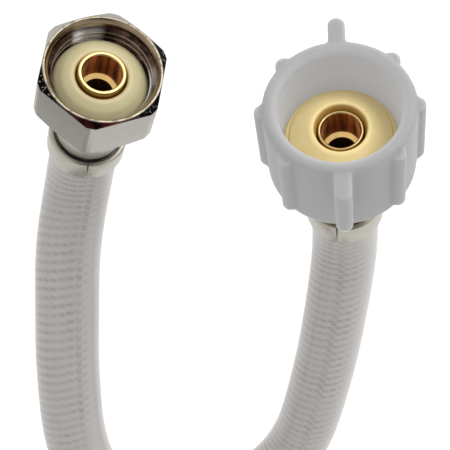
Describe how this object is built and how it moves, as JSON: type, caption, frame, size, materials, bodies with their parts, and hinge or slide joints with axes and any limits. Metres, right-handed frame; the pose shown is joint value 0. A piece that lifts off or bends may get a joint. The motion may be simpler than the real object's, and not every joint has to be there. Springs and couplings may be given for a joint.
{
  "type": "flexible toilet supply connector",
  "caption": "Braid-reinforced vinyl toilet supply hose with a chromed hexagonal valve nut and a winged plastic tank nut.",
  "frame": {"origin": "centre of the tank nut's open mouth, in the plane of its rim", "axes": "+Z out of the tank nut's mouth along its axis, -X towards the valve end, -Y the way the hose bellies out"},
  "size_m": [0.0879, 0.0706, 0.1398],
  "materials": {
    "chromed_nut": "bright nickel plate on brass",
    "cream_rubber": "smooth moulded",
    "brass": "bright turned",
    "tinned_steel": "plated strip, rolled",
    "nut_plastic": "satin translucent moulding",
    "liner_vinyl": "extruded",
    "yarn": "braided polyester",
    "jacket_vinyl": "translucent, extruded"
  },
  "bodies": {
    "hose_assembly": {"hose_liner": "liner_vinyl", "hose_braid": "yarn", "hose_jacket": "jacket_vinyl", "hex_stem": "brass", "hex_ferrule": "tinned_steel", "hex_washer": "cream_rubber", "tank_stem": "brass", "tank_ferrule": "tinned_steel", "tank_washer": "cream_rubber"},
    "valve_nut": {"hex_nut": "chromed_nut"},
    "tank_nut_body": {"tank_nut": "nut_plastic"}
  },
  "joints": [
    {"name": "valve_nut_turn", "type": "hinge", "parent": "hose_assembly", "child": "valve_nut", "pos_m": [-0.04399, 0.00855, 0.00334], "axis": [0.2852, -0.0576, 0.9567], "continuous": true},
    {"name": "tank_nut_turn", "type": "hinge", "parent": "hose_assembly", "child": "tank_nut_body", "pos_m": [0, 0, 0], "axis": [0, 0, 1], "continuous": true}
  ]
}
